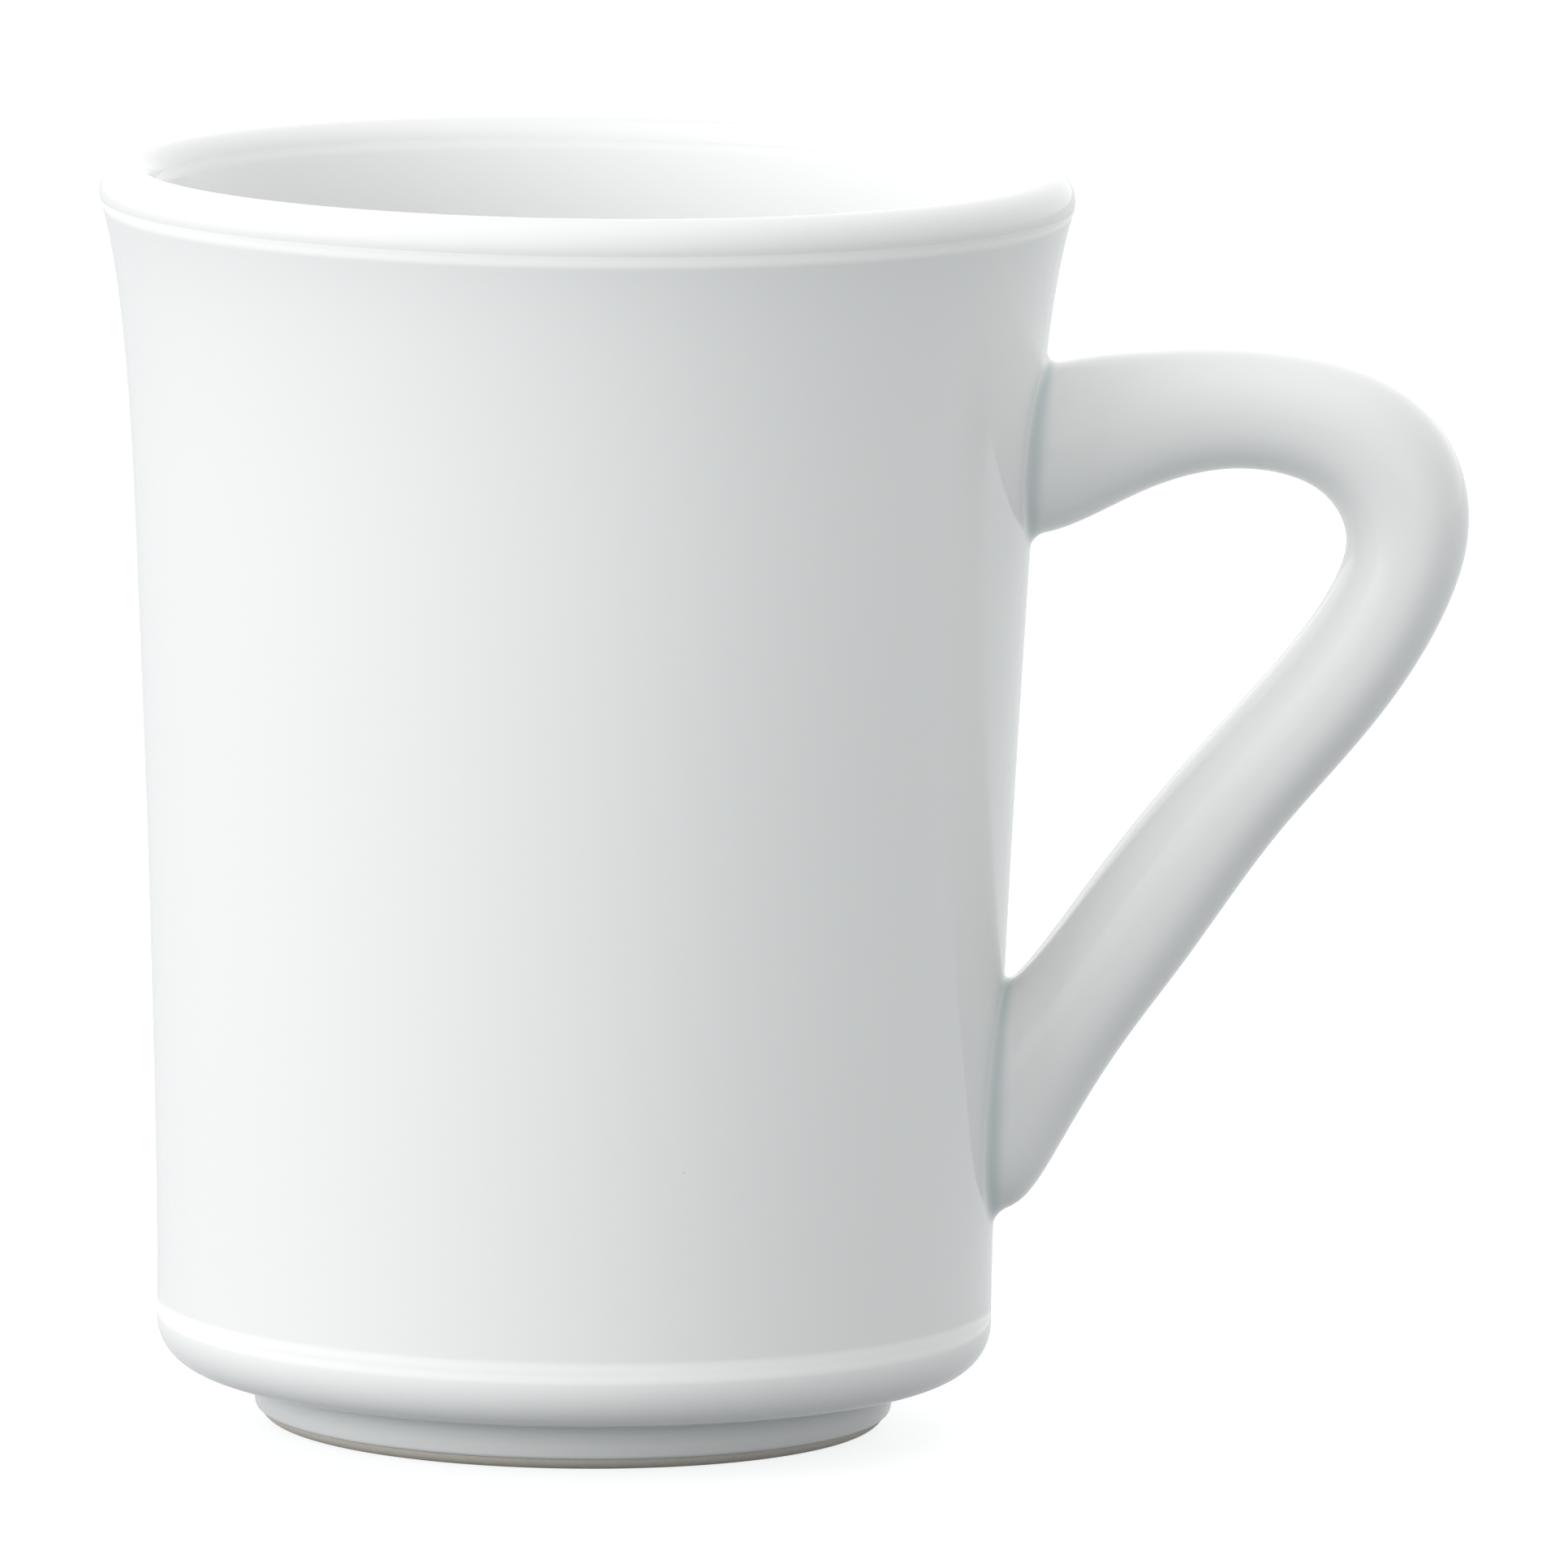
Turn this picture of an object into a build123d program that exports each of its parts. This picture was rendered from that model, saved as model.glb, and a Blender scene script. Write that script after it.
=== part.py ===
from build123d import *
from math import cos, radians, sin
import os

# A thick-walled ceramic mug. The origin is the centre of the foot's resting face, +Z is up along
# the cup's axis and +X points from the axis to the handle. All sizes are in millimetres.

# Cup, measured over the fired glaze
HEIGHT = 99.0
RIM_RADIUS = 38.1
LIP_RADIUS = 2.2
LIP_FLARE_DEG = 16.0
WALL_THICKNESS = 2 * LIP_RADIUS
LOWER_WALL_RADIUS = 32.8
LOWER_WALL_TOP = 9.0
WALL_SWELL = [(29.5, 0.45), (49.2, 1.2), (66.9, 2.05), (86.6, 3.45)]  # height, radius gained

# Inside
FLOOR_HEIGHT = 9.6
FLOOR_ROUND = 9.0
INNER_WALL_BASE = 19.5

# Bottom of the cup and its foot ring
UNDERSIDE_HEIGHT = 4.3
CORNER_RADIUS = 3.8
FOOT_TOP_RADIUS = 25.5
FOOT_REST_RADIUS = 24.8
FOOT_OUTER_ROUND = 1.5
FOOT_JUNCTION_ROUND = 0.8
FOOT_INNER_RADIUS = 20.0
FOOT_INNER_DRAFT = 0.6
FOOT_INNER_ROUND = 1.0
RECESS_HEIGHT = 3.2
RECESS_ROUND = 1.5

# Glaze coat, and the bare band wiped round the foot before firing
GLAZE = 0.3
BARE_FOOT_HEIGHT = 0.9

# Handle, measured over the glaze. Each rib is a cross-section of the loop, given by x and z of its
# outer edge and of its inner edge, from inside the upper wall round to inside the lower wall
HANDLE_WIDTH = 13.3
HANDLE_RIBS = [
    ((30.5, 83.5), (30.5, 70.6)),
    ((35.8, 84.0), (36.2, 70.9)),
    ((39.2, 84.6), (39.6, 72.2)),
    ((43.6, 85.1), (44.2, 74.5)),
    ((49.8, 85.4), (50.0, 76.1)),
    ((56.7, 84.8), (54.6, 75.8)),
    ((63.4, 82.5), (57.5, 74.5)),
    ((67.8, 78.0), (59.1, 72.6)),
    ((69.2, 71.7), (59.6, 70.1)),
    ((67.4, 65.0), (58.5, 66.8)),
    ((62.0, 56.2), (54.4, 60.9)),
    ((54.7, 47.4), (47.4, 52.8)),
    ((47.4, 37.0), (39.8, 43.0)),
    ((41.2, 28.1), (34.0, 35.4)),
    ((38.2, 22.9), (32.0, 33.2)),
    ((36.4, 19.8), (31.0, 30.9)),
    ((34.6, 17.8), (30.0, 29.6)),
    ((32.4, 17.0), (29.0, 29.0)),
    ((29.0, 16.7), (28.0, 28.6)),
]

# Sections from one rib to the next
RIB_STEPS = 3

# Slip that fixes the handle: a pad between each root and the wall, and the collar squeezed out
# round it
SLIP_PAD = 0.4
COLLAR_SPREAD = 0.9
COLLAR_RISE = 0.8


def on_lip(angle_deg, inset):
    """A point on the lip's round, counted from its outermost point."""
    turn = radians(angle_deg)
    reach = LIP_RADIUS - inset
    return (RIM_RADIUS - LIP_RADIUS + reach * cos(turn), HEIGHT - LIP_RADIUS + reach * sin(turn))


def flared_line(start, moved_in, end):
    """A side of the wall, from its straight lower part up to the lip's round."""
    swell = [(LOWER_WALL_RADIUS + gain - moved_in, z) for z, gain in WALL_SWELL]
    flare = (sin(radians(LIP_FLARE_DEG)), cos(radians(LIP_FLARE_DEG)))
    return Spline(start, *swell, end, tangents=[(0, 1), flare])


def outside_line(inset):
    """The outside of the wall, under a coat of the given depth."""
    start = (LOWER_WALL_RADIUS - inset, LOWER_WALL_TOP)
    return flared_line(start, inset, on_lip(-LIP_FLARE_DEG, inset))


def inside_line(inset):
    """The inside of the wall, above the floor's round."""
    moved_in = WALL_THICKNESS - inset
    start = (LOWER_WALL_RADIUS - moved_in, INNER_WALL_BASE)
    return flared_line(start, moved_in, on_lip(180 - LIP_FLARE_DEG, inset))


def underside_line(inset):
    """From the axis under the cup, round the foot ring and the lower corner, to the wall."""
    corners = [
        (0, RECESS_HEIGHT + inset),
        (FOOT_INNER_RADIUS - FOOT_INNER_DRAFT + inset, RECESS_HEIGHT + inset),
        (FOOT_INNER_RADIUS + inset, 0),
        (FOOT_REST_RADIUS - inset, 0),
        (FOOT_TOP_RADIUS - inset, UNDERSIDE_HEIGHT + inset),
        (LOWER_WALL_RADIUS - inset, UNDERSIDE_HEIGHT + inset),
        (LOWER_WALL_RADIUS - inset, LOWER_WALL_TOP),
    ]
    rounds = [
        RECESS_ROUND + inset,
        FOOT_INNER_ROUND,
        FOOT_OUTER_ROUND,
        FOOT_JUNCTION_ROUND + inset,
        CORNER_RADIUS - inset,
    ]
    return FilletPolyline(*corners, radius=rounds)


def floor_line(inset):
    """From the inner wall, round the floor's edge, to the axis."""
    wall = LOWER_WALL_RADIUS - WALL_THICKNESS + inset
    floor = FLOOR_HEIGHT - inset
    corners = [(wall, INNER_WALL_BASE), (wall, floor), (0, floor)]
    return FilletPolyline(*corners, radius=FLOOR_ROUND + inset)


def cup_section(inset):
    """Half of the cup's section, under a coat of the given depth."""
    lip_angles = [-LIP_FLARE_DEG, 90 - LIP_FLARE_DEG, 180 - LIP_FLARE_DEG]
    lip = ThreePointArc(*[on_lip(angle, inset) for angle in lip_angles])
    bottom = underside_line(inset)
    floor = floor_line(inset)
    axis = Line(floor @ 1, bottom @ 0)
    return make_face([bottom, outside_line(inset), lip, inside_line(inset), floor, axis])


def turned(section):
    """A solid of revolution from half of its section, drawn with radius across and height up."""
    return revolve(Plane.XZ * section, axis=Axis.Z)


def cup_body():
    """The cup's clay, with its lip and foot ring."""
    return turned(cup_section(GLAZE))


def coat_zones():
    """Half sections that part the coat into its outside, its inside and the disc underneath."""
    beyond = RIM_RADIUS + 10
    above = HEIGHT + 10
    in_floor = (UNDERSIDE_HEIGHT + FLOOR_HEIGHT) / 2
    rest_middle = (FOOT_INNER_RADIUS + FOOT_REST_RADIUS) / 2
    lip_middle = RIM_RADIUS - LIP_RADIUS
    wall_middle = LOWER_WALL_RADIUS - WALL_THICKNESS / 2
    seam = [
        (wall_middle, in_floor),
        (wall_middle, INNER_WALL_BASE),
        (lip_middle, HEIGHT - LIP_RADIUS),
        (lip_middle, above),
    ]
    outside = Polygon(
        *seam, (beyond, above), (beyond, BARE_FOOT_HEIGHT), (rest_middle, BARE_FOOT_HEIGHT),
        (rest_middle, in_floor), align=None,
    )
    inside = Polygon(*seam, (0, above), (0, in_floor), align=None)
    underside = Polygon(
        (0, BARE_FOOT_HEIGHT), (rest_middle, BARE_FOOT_HEIGHT), (rest_middle, in_floor),
        (0, in_floor), align=None,
    )
    return outside, inside, underside


def cup_core(inset):
    """The outside of the cup as a filled solid, for trimming what meets the wall."""
    wall = outside_line(inset)
    foot = wall @ 0
    lip = wall @ 1
    closing = Polyline((lip.X, lip.Y), (0, lip.Y), (0, foot.Y), (foot.X, foot.Y))
    return turned(make_face([wall, closing]))


def between(t, before, start, end, after):
    """A value on the smooth curve from start, at t = 0, to end, at t = 1."""
    bend = before - 2.5 * start + 2 * end - after / 2
    swing = 1.5 * (start - end) + (after - before) / 2
    return start + t * (end - before) / 2 + t**2 * bend + t**3 * swing


def close_ribs():
    """The handle's ribs with more between them, on a smooth curve through the given ones."""
    ribs = [(*outer, *inner) for outer, inner in HANDLE_RIBS]
    ends = [ribs[0], *ribs, ribs[-1]]
    close = []
    for before, start, end, after in zip(ends, ends[1:], ends[2:], ends[3:]):
        for step in range(RIB_STEPS):
            t = step / RIB_STEPS
            close.append([between(t, *values) for values in zip(before, start, end, after)])
    return close + [ribs[-1]]


def handle_loop(inset):
    """The handle's tapered loop under a coat, carried on into the wall at both roots."""
    sections = []
    for outer_x, outer_z, inner_x, inner_z in close_ribs():
        outer = Vector(outer_x, 0, outer_z)
        inner = Vector(inner_x, 0, inner_z)
        across = outer - inner
        plane = Plane(origin=(outer + inner) / 2, x_dir=across, z_dir=across.cross(Vector(0, 1, 0)))
        sections.append(plane * Ellipse(across.length / 2 - inset, HANDLE_WIDTH / 2 - inset))
    # Each band is lofted from its own two sections, so that none of them twists
    bands = [
        face
        for pair in zip(sections, sections[1:])
        for face in loft(pair, ruled=True).faces()
        if face.geom_type != GeomType.PLANE
    ]
    return Solid(Shell([sections[0].face(), *bands, sections[-1].face()]))


def root_collars(inset):
    """The squeezed-out slip round both roots under a coat, carried on into the wall."""
    return handle_loop(inset - COLLAR_SPREAD) & cup_core(inset - COLLAR_RISE)


def main():
    os.makedirs("parts", exist_ok=True)
    clay_loop = handle_loop(GLAZE)
    clay_collars = root_collars(GLAZE)
    handle = clay_loop - cup_core(GLAZE - SLIP_PAD)
    slip = clay_collars - cup_core(GLAZE) - handle
    lower_slip, upper_slip = slip.solids().sort_by(Axis.Z)

    skin = cup_section(0) - cup_section(GLAZE)
    outside, inside, underside = [turned(skin & zone) for zone in coat_zones()]
    glazed_handle = handle_loop(0) + root_collars(0) - cup_core(0)

    nodes = {
        "cup_body": cup_body(),
        "handle": handle,
        "upper_slip_joint": upper_slip,
        "lower_slip_joint": lower_slip,
        "outside_glaze": outside - clay_collars,
        "inside_glaze": inside,
        "handle_glaze": glazed_handle - clay_loop - clay_collars,
        "underside_glaze": underside,
    }
    for name, node in nodes.items():
        export_step(node, f"parts/{name}.step")
        print(name, round(node.volume, 1), "mm3")


if __name__ == "__main__":
    main()
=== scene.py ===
"""A glazed porcelain restaurant mug: a turned cup with its glaze coats, and one cast handle.

Every piece is a surface worked out with numpy. The cup's clay and its three coats are closed
outlines turned about the cup's axis. The handle, its coat and its slip joints are sections carried
along the loop and landed on the wall with a fillet. Sizes are in millimetres, and become metres
when a mesh is written.
"""

import logging
import math
from dataclasses import dataclass
from enum import Enum

import bpy
import numpy as np
from mathutils import Matrix, Vector

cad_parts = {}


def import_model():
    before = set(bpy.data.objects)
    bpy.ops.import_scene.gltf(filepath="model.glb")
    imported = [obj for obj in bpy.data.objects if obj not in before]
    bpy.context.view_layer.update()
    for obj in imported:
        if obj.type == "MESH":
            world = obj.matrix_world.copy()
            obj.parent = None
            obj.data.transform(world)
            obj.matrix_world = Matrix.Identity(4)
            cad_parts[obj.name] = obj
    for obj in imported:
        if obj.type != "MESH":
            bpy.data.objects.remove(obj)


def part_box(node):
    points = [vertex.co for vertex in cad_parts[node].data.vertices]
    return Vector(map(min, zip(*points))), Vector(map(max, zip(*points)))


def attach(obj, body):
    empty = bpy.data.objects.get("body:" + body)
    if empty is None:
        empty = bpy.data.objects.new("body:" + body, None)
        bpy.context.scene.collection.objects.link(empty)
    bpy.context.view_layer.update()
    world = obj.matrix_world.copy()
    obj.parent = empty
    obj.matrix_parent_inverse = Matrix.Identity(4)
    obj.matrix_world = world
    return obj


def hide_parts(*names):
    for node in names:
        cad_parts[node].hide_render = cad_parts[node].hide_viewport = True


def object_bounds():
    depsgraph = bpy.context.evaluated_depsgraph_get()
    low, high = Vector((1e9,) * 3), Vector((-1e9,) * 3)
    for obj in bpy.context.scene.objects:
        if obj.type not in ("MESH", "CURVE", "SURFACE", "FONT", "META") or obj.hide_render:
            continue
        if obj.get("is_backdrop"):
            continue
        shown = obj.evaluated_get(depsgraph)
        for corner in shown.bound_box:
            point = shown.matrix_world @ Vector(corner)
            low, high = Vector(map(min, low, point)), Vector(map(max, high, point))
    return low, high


LOG = logging.getLogger("mug")
MM = 0.001
ROOT = "root"

Array = np.ndarray
Rib = tuple[tuple[float, float], tuple[float, float]]


class Slot(Enum):
    """The record's material slots."""

    PORCELAIN = "porcelain"
    SLIP = "joint_slip"
    OUTER_GLAZE = "outer_glaze"
    INNER_GLAZE = "inner_glaze"


class Root(Enum):
    """The two places where the handle meets the wall."""

    UPPER = "upper_slip_joint"
    LOWER = "lower_slip_joint"


# ---------------------------------------------------------------- curves


def unit(vectors: Array) -> Array:
    """Scales vectors to length one.

    Args:
        vectors: any array whose last axis holds the components.

    Returns:
        The same directions with length one.
    """
    return vectors / np.maximum(np.linalg.norm(vectors, axis=-1, keepdims=True), 1e-12)


def spline(points: Array, steps: Array, start: Array | None = None, end: Array | None = None) -> Array:
    """A cubic spline through points, with its parameter running from 0 to 1 by chord length.

    Each stretch is the Hermite cubic of its two ends, and the slopes at the points solve the
    tridiagonal system that makes the second derivative continuous. An end with a given direction is
    clamped to it, and any other end has no curvature.

    Args:
        points: the points, one per row.
        steps: parameters to evaluate, from 0 to 1.
        start: direction at the first point.
        end: direction at the last point.

    Returns:
        One point per parameter.
    """
    chord = np.linalg.norm(np.diff(points, axis=0), axis=1)
    knots = np.concatenate([[0.0], np.cumsum(chord)]) / chord.sum()
    gap = np.diff(knots)
    rise = np.diff(points, axis=0) / gap[:, None]
    count = len(points)
    system = np.zeros((count, count))
    wanted = np.zeros_like(points)
    inner = np.arange(1, count - 1)
    system[inner, inner - 1] = 1 / gap[:-1]
    system[inner, inner] = 2 / gap[:-1] + 2 / gap[1:]
    system[inner, inner + 1] = 1 / gap[1:]
    wanted[inner] = 3 * (rise[:-1] / gap[:-1, None] + rise[1:] / gap[1:, None])
    for row, beside, slope, direction in ((0, 1, rise[0], start), (-1, -2, rise[-1], end)):
        free = direction is None
        system[row, row] = 2 if free else 1
        system[row, beside] = 1 if free else 0
        wanted[row] = 3 * slope if free else unit(np.asarray(direction, float)) * chord.sum()
    slopes = np.linalg.solve(system, wanted)
    cell = np.clip(np.searchsorted(knots, steps, side="right") - 1, 0, count - 2)
    width = gap[cell][:, None]
    t = ((steps - knots[cell]) / gap[cell])[:, None]
    return (
        (1 + 2 * t) * (1 - t) ** 2 * points[cell]
        + t * (1 - t) ** 2 * width * slopes[cell]
        + t**2 * (3 - 2 * t) * points[cell + 1]
        + t**2 * (t - 1) * width * slopes[cell + 1]
    )


def arc(centre: Array, radius: float, first_deg: float, last_deg: float, count: int) -> Array:
    """Points on a circle, evenly spaced by angle.

    Args:
        centre: the circle's centre.
        radius: its radius.
        first_deg: the first point's angle, in degrees.
        last_deg: the last point's angle.
        count: how many points.

    Returns:
        The points, one per row.
    """
    turn = np.radians(np.linspace(first_deg, last_deg, count))
    return centre + radius * np.stack([np.cos(turn), np.sin(turn)], axis=1)


def rounded(corners: list[tuple[float, float]], radii: list[float], spacing: float) -> Array:
    """A polyline with each inner corner replaced by the circle that touches both of its sides.

    The circle's centre lies on the corner's bisector, radius / sin(half angle) away from the corner,
    and the arc is the great-circle blend of its first and last spokes.

    Args:
        corners: the polyline's points.
        radii: one radius for each inner corner.
        spacing: the distance between points along an arc.

    Returns:
        The rounded line's points, one per row.
    """
    points = np.array(corners, float)
    line = [points[:1]]
    for corner, before, after, radius in zip(points[1:-1], points[:-2], points[2:], radii):
        back, ahead = unit(before - corner), unit(after - corner)
        half = 0.5 * math.acos(float(np.clip(back @ ahead, -1, 1)))
        sweep = math.pi - 2 * half
        centre = corner + unit(back + ahead) * radius / math.sin(half)
        first = corner + back * radius / math.tan(half) - centre
        last = corner + ahead * radius / math.tan(half) - centre
        share = np.linspace(0, 1, max(5, int(radius * sweep / spacing)))[:, None]
        spokes = np.sin((1 - share) * sweep) * first + np.sin(share * sweep) * last
        line.append(centre + spokes / math.sin(sweep))
    line.append(points[-1:])
    return np.concatenate(line)


def filled_in(line: Array, spacing: float) -> Array:
    """The same line with points added wherever two neighbours are far apart.

    Args:
        line: points, one per row.
        spacing: the longest step to leave.

    Returns:
        The line's own points with the added ones between them.
    """
    step = np.linalg.norm(np.diff(line, axis=0), axis=1)
    line = line[np.concatenate([[True], step > 1e-6])]
    length = np.concatenate([[0.0], np.cumsum(step[step > 1e-6])])
    parts = np.maximum(1, np.ceil(np.diff(length) / spacing)).astype(int)
    share = np.concatenate([np.arange(n) / n for n in parts])
    at = np.repeat(length[:-1], parts) + share * np.repeat(np.diff(length), parts)
    at = np.append(at, length[-1])
    return np.stack([np.interp(at, length, line[:, k]) for k in range(line.shape[1])], axis=1)


# ---------------------------------------------------------------- meshes


def write_mesh(name: str, points: Array, faces: Array, pool_and_shade: Array | None = None) -> bpy.types.Object:
    """Puts points and faces into a new smooth mesh object at the origin.

    Args:
        name: the piece's name.
        points: vertices in millimetres, one per row.
        faces: rows of four vertex indices; a triangle repeats its last one.
        pool_and_shade: glaze pooling and painted crease shade at each vertex, from 0 to 1.

    Returns:
        The new object, in the scene.
    """
    quad = faces[:, 2] != faces[:, 3]
    corners = np.concatenate([faces[quad].ravel(), faces[~quad][:, :3].ravel()])
    sizes = np.concatenate([np.full(quad.sum(), 4), np.full((~quad).sum(), 3)])
    mesh = bpy.data.meshes.new(name)
    mesh.vertices.add(len(points))
    mesh.vertices.foreach_set("co", (points * MM).astype(np.float32).ravel())
    mesh.loops.add(len(corners))
    mesh.loops.foreach_set("vertex_index", corners.astype(np.int32))
    mesh.polygons.add(len(sizes))
    mesh.polygons.foreach_set("loop_start", (np.cumsum(sizes) - sizes).astype(np.int32))
    mesh.polygons.foreach_set("use_smooth", np.ones(len(sizes), bool))
    mesh.update(calc_edges=True)
    attribute = mesh.attributes.new("glaze_pool_and_crease_shade", "FLOAT", "POINT")
    pool_and_shade_amount = np.zeros(len(points)) if pool_and_shade is None else pool_and_shade
    attribute.data.foreach_set("value", pool_and_shade_amount.astype(np.float32))
    piece = bpy.data.objects.new(name, mesh)
    bpy.context.scene.collection.objects.link(piece)
    return piece


def grid_faces(rows: int, columns: int, ring: bool) -> Array:
    """The quads of a grid whose columns close on themselves.

    Args:
        rows: how many rows of points.
        columns: how many points in each row.
        ring: whether the last row joins the first.

    Returns:
        Rows of four vertex indices.
    """
    row, column = np.meshgrid(np.arange(rows if ring else rows - 1), np.arange(columns), indexing="ij")
    here, below = row * columns, (row + 1) % rows * columns
    beside = (column + 1) % columns
    quads = [here + column, here + beside, below + beside, below + column]
    return np.stack([corner.ravel() for corner in quads], axis=1)


def ring_mesh(name: str, grid: Array, pool_and_shade: Array | None = None) -> bpy.types.Object:
    """A closed surface from a grid whose rows and columns both close on themselves.

    Args:
        name: the piece's name.
        grid: points by row and column.
        pool_and_shade: glaze pooling and painted crease shade by row and column.

    Returns:
        The new object.
    """
    rows, columns = grid.shape[:2]
    pool_and_shade_amount = None if pool_and_shade is None else pool_and_shade.ravel()
    return write_mesh(name, grid.reshape(-1, 3), grid_faces(rows, columns, ring=True), pool_and_shade_amount)


def capped_mesh(
    name: str, grid: Array, first: Array, last: Array, pool_and_shade: Array | None = None,
) -> bpy.types.Object:
    """A closed surface from a grid whose first and last rows shrink to one shared point each.

    Args:
        name: the piece's name.
        grid: points by row and column.
        first: the point before the first row.
        last: the point after the last row.
        pool_and_shade: glaze pooling and painted crease shade by row and column.

    Returns:
        The new object.
    """
    rows, columns = grid.shape[:2]
    column = np.arange(columns)
    beside = (column + 1) % columns
    end = (rows - 1) * columns
    start_pole = np.full(columns, rows * columns)
    end_pole = start_pole + 1
    faces = np.concatenate([
        grid_faces(rows, columns, ring=False),
        np.stack([start_pole, beside, column, column], axis=1),
        np.stack([end + column, end + beside, end_pole, end_pole], axis=1),
    ])
    points = np.concatenate([grid.reshape(-1, 3), [first], [last]])
    if pool_and_shade is None:
        return write_mesh(name, points, faces)
    pool_and_shade_amount = np.concatenate([pool_and_shade.ravel(), [pool_and_shade[0].mean(), pool_and_shade[-1].mean()]])
    return write_mesh(name, points, faces, pool_and_shade_amount)


def turned(outline: Array, columns: int) -> Array:
    """The grid of a surface of revolution: each (radius, height) becomes a circle about the axis.

    Args:
        outline: radius and height, one point per row, with the solid on its left.
        columns: points round each circle.

    Returns:
        Points by row and column.
    """
    angle = np.linspace(0, 2 * math.pi, columns, endpoint=False)
    radius, height = outline[:, :1], outline[:, 1:]
    return np.stack([radius * np.cos(angle), radius * np.sin(angle), height + 0 * angle], axis=-1)


def pole(point: Array) -> Array:
    """An outline's point on the axis, as a point in space."""
    return np.array([0.0, 0.0, point[1]])


# ---------------------------------------------------------------- the cup's outlines


@dataclass(frozen=True)
class CupShape:
    """The cup's section over its fired glaze, in millimetres, from its height and rim."""

    height: float
    rim_radius: float
    lip_radius: float = 2.2
    lip_flare_deg: float = 16.0
    lower_wall_radius: float = 32.8
    lower_wall_top: float = 9.0
    wall_swell: tuple[tuple[float, float], ...] = ((29.5, 0.45), (49.2, 1.2), (66.9, 2.05), (86.6, 3.45))
    floor_height: float = 9.6
    floor_round: float = 9.0
    inner_wall_base: float = 19.5
    underside_height: float = 4.3
    corner_radius: float = 3.8
    foot_top_radius: float = 25.5
    foot_rest_radius: float = 24.8
    foot_outer_round: float = 1.5
    foot_junction_round: float = 0.8
    foot_inner_radius: float = 20.0
    foot_inner_draft: float = 0.6
    foot_inner_round: float = 1.0
    recess_height: float = 3.2
    recess_round: float = 1.5
    glaze: float = 0.3
    bare_foot_height: float = 0.9
    glaze_edge: float = 0.6
    lip_points: int = 26
    wall_points: int = 90
    spacing: float = 0.16
    floor_spacing: float = 0.4
    flat_spacing: float = 1.0

    @property
    def wall_thickness(self) -> float:
        """The wall is as thick as its round lip."""
        return 2 * self.lip_radius

    def lip(self, first_deg: float, last_deg: float, inset: float) -> Array:
        """Part of the lip's round, counted from its outermost point, under a coat."""
        centre = np.array([self.rim_radius - self.lip_radius, self.height - self.lip_radius])
        return arc(centre, self.lip_radius - inset, first_deg, last_deg, self.lip_points)

    def flared(self, start: tuple[float, float], moved_in: float, end: Array) -> Array:
        """One side of the wall, from its straight lower part up to the lip.

        Args:
            start: the lower end, where the wall is upright.
            moved_in: how far this side lies inside the outer glazed surface.
            end: the upper end, on the lip's round.

        Returns:
            The side's points, going up.
        """
        swell = [(self.lower_wall_radius + gain - moved_in, z) for z, gain in self.wall_swell]
        flare = math.radians(self.lip_flare_deg)
        points = np.array([start, *swell, end])
        steps = np.linspace(0, 1, self.wall_points)
        return spline(points, steps, (0, 1), (math.sin(flare), math.cos(flare)))

    def underside(self, inset: float) -> Array:
        """From the axis under the cup, round the foot ring and the lower corner, to the wall."""
        wall = self.lower_wall_radius - inset
        corners = [
            (0, self.recess_height + inset),
            (self.foot_inner_radius - self.foot_inner_draft + inset, self.recess_height + inset),
            (self.foot_inner_radius + inset, 0),
            (self.foot_rest_radius - inset, 0),
            (self.foot_top_radius - inset, self.underside_height + inset),
            (wall, self.underside_height + inset),
            (wall, self.lower_wall_top),
        ]
        radii = [
            self.recess_round + inset,
            self.foot_inner_round,
            self.foot_outer_round,
            self.foot_junction_round + inset,
            self.corner_radius - inset,
        ]
        return filled_in(rounded(corners, radii, self.spacing), self.flat_spacing)

    def outside(self, inset: float) -> Array:
        """The outside wall, going up to the lip."""
        end = self.lip(-self.lip_flare_deg, 0, inset)[0]
        return self.flared((self.lower_wall_radius - inset, self.lower_wall_top), inset, end)

    def inside(self, inset: float) -> Array:
        """From the lip down the inside wall, round the floor's edge, to the axis."""
        wall = self.lower_wall_radius - self.wall_thickness + inset
        floor = self.floor_height - inset
        end = self.lip(180 - self.lip_flare_deg, 180, inset)[0]
        side = self.flared((wall, self.inner_wall_base), self.wall_thickness - inset, end)
        corners = [(wall, self.inner_wall_base), (wall, floor), (0, floor)]
        bottom = rounded(corners, [self.floor_round + inset], self.floor_spacing)
        return np.concatenate([side[::-1], filled_in(bottom, self.flat_spacing)])

    def outer_face(self, inset: float) -> Array:
        """The cup's outer face, from the middle of the foot's rest up to the lip's top."""
        under = self.underside(inset)
        rest = (self.foot_inner_radius + self.foot_rest_radius) / 2
        outer = self.lip(-self.lip_flare_deg, 90, inset)
        return np.concatenate([under[under[:, 0] > rest], self.outside(inset), outer])

    def inner_face(self, inset: float) -> Array:
        """The cup's inner face, from the lip's top down to the axis."""
        return np.concatenate([self.lip(90, 180 - self.lip_flare_deg, inset), self.inside(inset)])

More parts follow.
